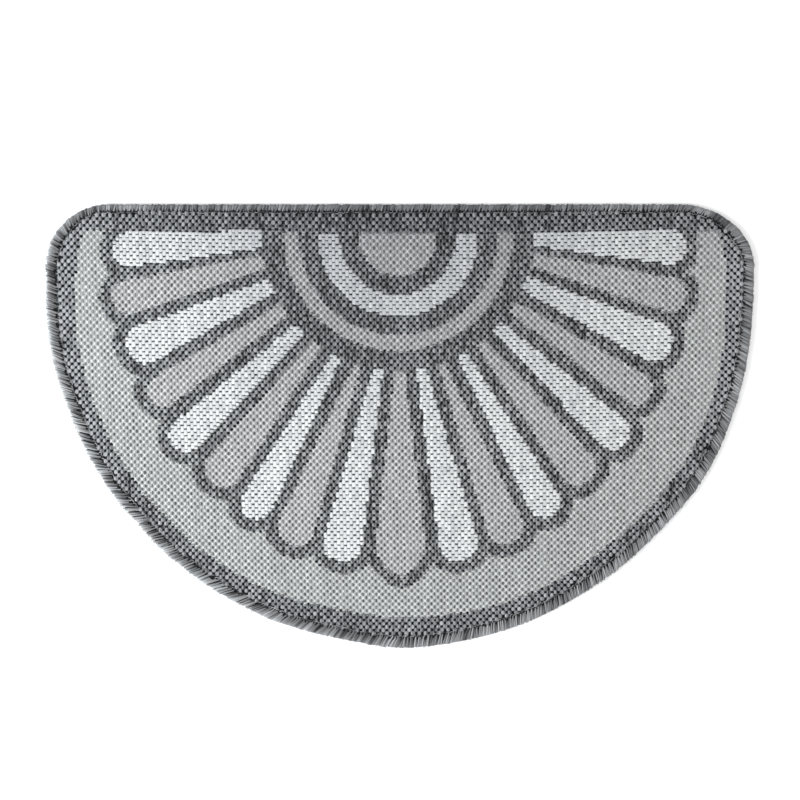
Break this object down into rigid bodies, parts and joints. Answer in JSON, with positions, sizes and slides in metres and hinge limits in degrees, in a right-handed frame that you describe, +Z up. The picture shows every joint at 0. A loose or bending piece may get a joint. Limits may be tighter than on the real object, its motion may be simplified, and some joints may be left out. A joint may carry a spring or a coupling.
{
  "type": "half-moon doormat",
  "caption": "Flat-woven half-moon doormat with a straight edge, rounded belly, petal-fan pattern in greys and a yarn-bound rim; lies flat at a door.",
  "frame": {"origin": "on the surface that the mat lies on, under the middle of the mat's box", "axes": "+X along the straight edge, +Y towards the straight edge, +Z up out of the patterned face"},
  "size_m": [0.7972, 0.4992, 0.0052],
  "materials": {
    "flat_weave": "matt flat-woven yarn in greys and white",
    "binding_yarn": "heather-grey wrapped yarn with a soft sheen"
  },
  "bodies": {
    "root": {"woven_panel": "flat_weave", "edge_binding": "binding_yarn"}
  },
  "joints": []
}
